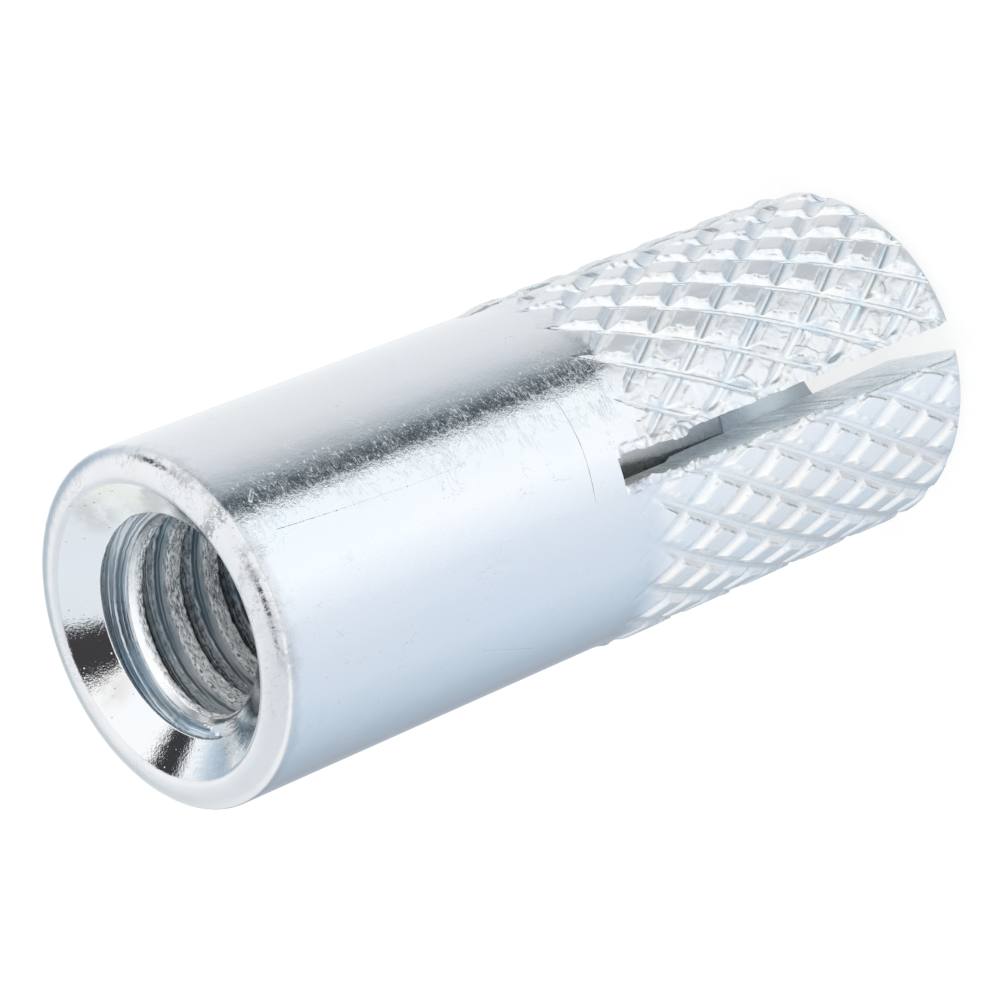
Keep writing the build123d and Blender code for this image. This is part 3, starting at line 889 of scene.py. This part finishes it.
    b.link(rr, p.inputs["Roughness"])
    below = b.smooth(arc, at(-4), at(-12))
    b.link(b.math("MULTIPLY_ADD", rolled, b.math("MULTIPLY_ADD", below, -0.08, -0.06), 1.0), p.inputs["Metallic"])
    b.link(col, p.inputs["Base Color"])
    return m


def bore_zinc():
    """Threads: flank and crest colours graded round the bore and from the first turn inward as painted light and shade,
    a patchy bluish film and bright tool lines along the helix on the flanks, torn crests with painted white glints, and
    painted shadow at the roots.
    """
    m = bpy.data.materials.new("zinc_thread")
    m.use_nodes = True
    b = Nodes(m.node_tree)
    out = b.new("ShaderNodeOutputMaterial")
    p = b.new("ShaderNodeBsdfPrincipled")
    b.link(p.outputs[0], out.inputs[0])
    p.inputs["IOR"].default_value = 1.5
    obj, cyl, z = cylinder_coords(b)
    torn = b.new("ShaderNodeAttribute", attribute_name="torn").outputs["Fac"]
    painted_crease_shade = b.new("ShaderNodeAttribute", attribute_name="painted_crease_shade").outputs["Fac"]
    across = b.new("ShaderNodeAttribute", attribute_name="across").outputs["Fac"]
    sep = b.new("ShaderNodeSeparateXYZ")
    b.link(obj, sep.inputs[0])

    def along(wide, thin, detail, rough):
        com = b.new("ShaderNodeCombineXYZ")
        b.link(b.math("MULTIPLY", sep.outputs[0], wide), com.inputs[0])
        b.link(b.math("MULTIPLY", sep.outputs[1], wide), com.inputs[1])
        b.link(b.math("MULTIPLY", across, thin), com.inputs[2])
        return b.noise(com.outputs[0], 1.0, detail, rough)

    lines = along(150.0, 14500.0, 3.0, 0.65)
    fine = along(420.0, 30000.0, 2.0, 0.6)
    flank = b.smooth(across, 0.17e-3, 0.27e-3)
    back = b.math("MULTIPLY", b.smooth(across, -0.14e-3, -0.20e-3), b.smooth(across, -0.54e-3, -0.46e-3))
    root_shadow = b.math("MAXIMUM", b.smooth(across, 0.44e-3, 0.50e-3), b.smooth(across, -0.46e-3, -0.54e-3))
    turn = b.math("MULTIPLY", sep.outputs[0], 1000.0)
    # painted light and shade: flank and crest colours graded round the bore by turn, darkest on the first turn's flank
    # near the middle, lighter on the deeper turns and toward negative turn
    first = b.mix(b.smooth(turn, -0.6, -2.3), (0.150, 0.200, 0.240), (0.28, 0.355, 0.40))
    first = b.mix(b.smooth(turn, 0.2, 1.6), first, (0.30, 0.37, 0.42))
    first = b.mix(b.smooth(turn, 1.5, 2.4), first, (0.66, 0.72, 0.76))
    deep = b.mix(b.smooth(turn, -0.2, -1.9), (0.48, 0.62, 0.72), (0.86, 0.93, 0.97))
    col = b.mix(flank, b.mix(b.smooth(z, 23.95e-3, 23.65e-3), (0.920, 0.925, 0.925), b.mix(b.smooth(turn, 0.2, -1.6), (0.62, 0.66, 0.68), (0.97, 0.98, 0.985))), b.mix(b.smooth(z, 23.9e-3, 23.1e-3), first, deep))
    col = b.mix(back, col, (0.36, 0.41, 0.43))
    # painted shadow darkens the thread's roots near the mouth
    col = b.mix(b.math("MULTIPLY", root_shadow, b.smooth(z, 24.3e-3, 23.8e-3)), col, (0.13, 0.15, 0.16))
    bright = b.math("MULTIPLY", b.smooth(lines, 0.525, 0.60), flank)
    col = b.mix(b.math("MULTIPLY", bright, 0.85), col, (0.80, 0.89, 0.97))
    dark = b.math("MULTIPLY", b.smooth(lines, 0.475, 0.39), flank)
    col = b.mix(b.math("MULTIPLY", dark, 0.72), col, (0.060, 0.085, 0.105))
    col = b.mix(b.math("MULTIPLY", b.math("MULTIPLY", b.smooth(fine, 0.53, 0.62), flank), 0.45), col, (0.10, 0.12, 0.14))
    painted_light_mask = along(5600.0, 27000.0, 3.0, 0.74)
    # painted glints: white specks on the torn crests and on a band beside them near the mouth, made less metallic
    # toward negative turn so they stay bright; dark specks among them
    speckle = b.math("MAXIMUM", torn, b.math("MULTIPLY", b.math("MULTIPLY", b.smooth(across, 0.30e-3, 0.10e-3), b.smooth(across, -0.20e-3, -0.10e-3)), b.smooth(z, 23.9e-3, 23.5e-3)))
    col = b.mix(b.math("MULTIPLY", speckle, b.smooth(painted_light_mask, 0.50, 0.57)), col, (0.98, 0.98, 0.97))
    col = b.mix(b.math("MULTIPLY", speckle, b.smooth(painted_light_mask, 0.48, 0.38)), col, (0.17, 0.19, 0.205))
    film = b.noise(obj, 800.0, 3.0, 0.6)
    col = b.mix(b.math("MULTIPLY", b.math("MULTIPLY", b.smooth(film, 0.50, 0.66), flank), 0.35), col, (0.20, 0.31, 0.42))
    # painted shadow lines carried by the thread's vertex attribute, near black
    col = b.mix(b.math("MULTIPLY", painted_crease_shade, b.smooth(b.noise(obj, 5000.0, 3.0, 0.65), 0.25, 0.60)), col, (0.045, 0.045, 0.045))
    h = b.math("MULTIPLY", lines, b.math("MULTIPLY_ADD", flank, 2.6, 0.1))
    h = b.math("MULTIPLY_ADD", fine, b.math("MULTIPLY_ADD", flank, 0.7, 0.1), h)
    h = b.math("MULTIPLY_ADD", b.math("MULTIPLY", speckle, painted_light_mask), 8.0, h)
    h = b.math("MULTIPLY_ADD", b.noise(obj, 12000.0, 2.0, 0.7), 0.4, h)
    bn = b.new("ShaderNodeBump")
    bn.inputs["Strength"].default_value = 1.0
    bn.inputs["Distance"].default_value = 4.5e-6
    b.link(h, bn.inputs["Height"])
    b.link(bn.outputs[0], p.inputs["Normal"])
    upper = b.smooth(z, 23.65e-3, 23.95e-3)
    met = b.math("MULTIPLY_ADD", b.math("MULTIPLY", upper, b.math("SUBTRACT", 1.0, flank)), 0.20, 0.76)
    met = b.math("MULTIPLY_ADD", flank, b.math("MULTIPLY_ADD", upper, 0.28, -0.40), met)
    met = b.math("MULTIPLY_ADD", b.math("MULTIPLY", speckle, b.smooth(turn, 0.6, -1.4)), -0.36, met, clamp=True)
    b.link(met, p.inputs["Metallic"])
    rr = b.math("MULTIPLY_ADD", b.smooth(film, 0.35, 0.70), 0.08, 0.13)
    b.link(rr, p.inputs["Roughness"])
    b.link(col, p.inputs["Base Color"])
    return m


zinc_out = outer_zinc()
# sawn walls: painted light, near white toward the slotted end, and yellowish toward the slot roots
zinc_cut = zinc("zinc_sawn", (0.760, 0.830, 0.870), (0.790, 0.840, 0.850), 0.26, 2.4e-6, pits=0.7, turning=0.5, grain=0.4, speck=0.25, metal=0.30, painted_light_by_height=((7.2, 10.4, (0.99, 0.99, 0.99), (0.76, 0.86, 0.91), 0.95), (10.8, 12.6, (0.82, 0.89, 0.93), (0.74, 0.74, 0.62), 0.7)))
# inside of the legs: painted shade, darker at the slotted end
zinc_in = zinc("zinc_inside", (0.640, 0.700, 0.740), (0.700, 0.735, 0.760), 0.26, 2.2e-6, pits=0.8, turning=1.0, grain=0.5, speck=0.35, metal=0.45, painted_light_by_height=((0.1, 1.7, (0.40, 0.44, 0.47), (0.78, 0.87, 0.92), 0.9),))
# countersink: the teal patch among its tints is a painted reflection tone, and its upper side gets a less metallic spot
# over a dark reflection
zinc_cone = zinc("zinc_countersink", (0.850, 0.870, 0.885), (0.865, 0.870, 0.860), 0.055, 3.6e-6, pits=0.9, turning=1.7, grain=1.0, speck=0.15, torn_bump=8.0, dust=6.0, pale_spot_over_reflection=(66, 25.0, 1.7, 0.75),
                 smears=((104, 25.1, 1.0), (-166, 24.9, 0.8)),
                 tints=((84, 25.0, 1.1, 0.5, (0.78, 0.81, 0.66)), (106, 25.05, 1.0, 0.45, (0.50, 0.49, 0.46)), (-64, 24.70, 1.15, 0.85, (0.28, 0.46, 0.53)), (-84, 24.85, 0.8, 0.4, (0.50, 0.60, 0.65)), (-166, 24.85, 0.8, 0.30, (0.50, 0.40, 0.34))))
zinc_thread = bore_zinc()
# plug: painted shade, darker towards its lower end
zinc_plug = zinc("zinc_plug", (0.700, 0.695, 0.685), (0.690, 0.700, 0.710), 0.30, 2.0e-6, pits=0.8, turning=0.8, grain=0.8, speck=0.35, metal=0.75, painted_light_by_height=((7.4, 12.6, (0.30, 0.335, 0.365), (0.76, 0.73, 0.69), 0.85),))

legs = [leg(k, [zinc_out, zinc_cut, zinc_in]) for k in range(4)]
top = barrel([zinc_out, zinc_cone, zinc_thread, zinc_cut])
slug = plug([zinc_plug])
for ob in legs + [top]:
    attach(ob, "root")
    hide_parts("sleeve")
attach(slug, "root")
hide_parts("expander_plug")

# ---------------------------------------------------------------------------
# floor
# ---------------------------------------------------------------------------
fm = bpy.data.materials.new("pale_floor")
fm.use_nodes = True
b = Nodes(fm.node_tree)
out = b.new("ShaderNodeOutputMaterial")
p = b.new("ShaderNodeBsdfPrincipled")
b.link(p.outputs[0], out.inputs[0])
tc = b.new("ShaderNodeTexCoord")
fl = b.noise(tc.outputs["Object"], 40.0, 2.0, 0.5)
b.link(b.mix(fl, (0.190, 0.190, 0.190), (0.200, 0.200, 0.200)), p.inputs["Base Color"])
p.inputs["Roughness"].default_value = 0.9
p.inputs["Specular IOR Level"].default_value = 0.0
p.inputs["Emission Color"].default_value = (1, 1, 1, 1)
p.inputs["Emission Strength"].default_value = 0.81
me = bpy.data.meshes.new("studio_floor")
me.from_pydata([(-4, -4, 0), (4, -4, 0), (4, 4, 0), (-4, 4, 0)], [], [(0, 1, 2, 3)])
me.materials.append(fm)
floor = bpy.data.objects.new("studio_floor", me)
bpy.context.scene.collection.objects.link(floor)
floor.visible_glossy = False

# ---------------------------------------------------------------------------
# studio: a pale tent with dark openings, seen by the metal only
# ---------------------------------------------------------------------------
world = bpy.data.worlds.new("studio")
bpy.context.scene.world = world
world.use_nodes = True
b = Nodes(world.node_tree)
out = b.new("ShaderNodeOutputWorld")
tc = b.new("ShaderNodeTexCoord")
rot = b.new("ShaderNodeVectorRotate", rotation_type="Z_AXIS")
b.link(tc.outputs["Generated"], rot.inputs["Vector"])
rot.inputs["Angle"].default_value = math.radians(-FRONT)
d = b.vec("NORMALIZE", rot.outputs[0])
sep = b.new("ShaderNodeSeparateXYZ")
b.link(d, sep.inputs[0])
az = b.math("MULTIPLY_ADD", b.math("ARCTAN2", sep.outputs[1], sep.outputs[0]), 1 / (2 * PI), 0.5)

GAIN = 1 / 0.875


def tone(r, g, b_, k=1.0):
    return tuple(lin(v) * GAIN * k for v in (r, g, b_))


low = [
    (-180, (176, 184, 194)), (-152, (158, 167, 178)), (-128, (170, 184, 198)), (-112, (184, 199, 213)), (-96, (195, 209, 223)),
    (-80, (206, 217, 230)), (-56, (212, 221, 233)), (-32, (220, 228, 238)), (-16, (235, 240, 248)), (0, (246, 250, 254)),
    (28, (242, 248, 252)), (42, (240, 246, 250)), (45, (220, 227, 232)), (48, (104, 113, 118)), (54, (88, 97, 103)), (59, (112, 121, 128)),
    (64, (142, 151, 158)), (72, (176, 183, 189)), (84, (205, 209, 214)), (100, (219, 222, 226)), (130, (226, 229, 232)), (165, (234, 236, 238)), (180, (205, 210, 216)),
]
low_c = b.ramp(az, [((a + 180) / 360, tone(*c)) for a, c in low])
high = [
    (-180, (196, 204, 208)), (-150, (228, 232, 232)), (-110, (244, 246, 247)), (-60, (250, 251, 252)), (0, (252, 253, 254)), (60, (249, 250, 252)),
    (100, (240, 243, 247)), (125, (212, 222, 232)), (150, (168, 184, 200)), (180, (188, 200, 204)),
]
high_c = b.ramp(az, [((a + 180) / 360, tone(*c, k=1.03)) for a, c in high])
env = b.mix(b.smooth(sep.outputs[2], -0.80, -0.90), low_c, tone(208, 214, 221))
env = b.mix(b.smooth(sep.outputs[2], -0.46, -0.30), env, tone(226, 231, 236))
env = b.mix(b.smooth(sep.outputs[2], -0.26, -0.10), env, high_c)
env = b.mix(b.smooth(sep.outputs[2], 0.22, 0.46), env, b.mix(b.smooth(sep.outputs[1], -0.30, 0.20), tone(226, 231, 236), tone(250, 251, 253)))


def blob(env, direction, inner, outer, colour, wob=0.02):
    """A darker opening in the tent, angles in degrees."""
    v = Vector(direction).normalized()
    c = b.vec("DOT_PRODUCT", d, tuple(v))
    m = b.smooth(c, math.cos(math.radians(outer)), math.cos(math.radians(inner)))
    return b.mix(m, env, tone(*colour))


env = blob(env, (0.33, -0.06, 0.90), 12.2, 14.8, (62, 60, 62))
env = blob(env, (-0.34, 0.765, 0.54), 9.5, 11.5, (56, 58, 61))
env = blob(env, (0.10, 0.06, -0.99), 5.0, 24.0, (176, 187, 198))

lp = b.new("ShaderNodeLightPath")
bg_metal = b.new("ShaderNodeBackground")
b.link(env, bg_metal.inputs[0])
bg_metal.inputs[1].default_value = 1.0
bg_room = b.new("ShaderNodeBackground")
bg_room.inputs[0].default_value = (1.0, 1.0, 1.0, 1)
bg_room.inputs[1].default_value = 1.0
either = b.math("MAXIMUM", lp.outputs["Is Camera Ray"], lp.outputs["Is Diffuse Ray"])
ms = b.new("ShaderNodeMixShader")
b.link(either, ms.inputs[0])
b.link(bg_metal.outputs[0], ms.inputs[1])
b.link(bg_room.outputs[0], ms.inputs[2])
b.link(ms.outputs[0], out.inputs[0])


def soft_light(name, azimuth, elevation, distance, size, power, colour=(1, 1, 1), glossy=False):
    """A square soft box; azimuth is counted from the direction of the shot."""
    ld = bpy.data.lights.new(name, "AREA")
    ld.shape = "SQUARE"
    ld.size = size
    ld.energy = power
    ld.color = colour
    ob = bpy.data.objects.new(name, ld)
    a, e = math.radians(FRONT + azimuth), math.radians(elevation)
    v = Vector((math.cos(a) * math.cos(e), math.sin(a) * math.cos(e), math.sin(e)))
    aim = Vector((0, 0, 0.012))
    ob.location = aim + v * distance
    ob.rotation_euler = (-v).to_track_quat("-Z", "Y").to_euler()
    ob.visible_camera = False
    ob.visible_glossy = glossy
    bpy.context.scene.collection.objects.link(ob)
    return ob


soft_light("soft_key", -40, 60, 0.9, 0.7, 1.2)
soft_light("soft_fill", 120, 55, 0.9, 0.7, 1.0)

# ---------------------------------------------------------------------------
# camera at the shot's viewing angle
# ---------------------------------------------------------------------------
w = Vector((-0.19352, -2.26488, -0.32386))
turn = Matrix.Rotation(w.length, 3, w.normalized())
shift = Vector((2.02906, -0.87349, 27.05679))
spot = -(turn.transposed() @ shift)
lay = Matrix.Rotation(math.radians(86.088), 3, "Z")
cd = bpy.data.cameras.new("camera")
cd.sensor_fit = "HORIZONTAL"
cd.sensor_width = 36.0
cd.lens = 4540.138 / 1000 * 36
cd.clip_start = 0.005
cd.clip_end = 20
cam = bpy.data.objects.new("camera", cd)
cam.matrix_world = Matrix.Translation((lay @ spot) * (R * 1e-3)) @ (lay @ turn.transposed() @ Matrix.Diagonal((1, -1, -1))).to_4x4()
bpy.context.scene.collection.objects.link(cam)
bpy.context.scene.camera = cam
bpy.context.scene.view_settings.view_transform = "Standard"
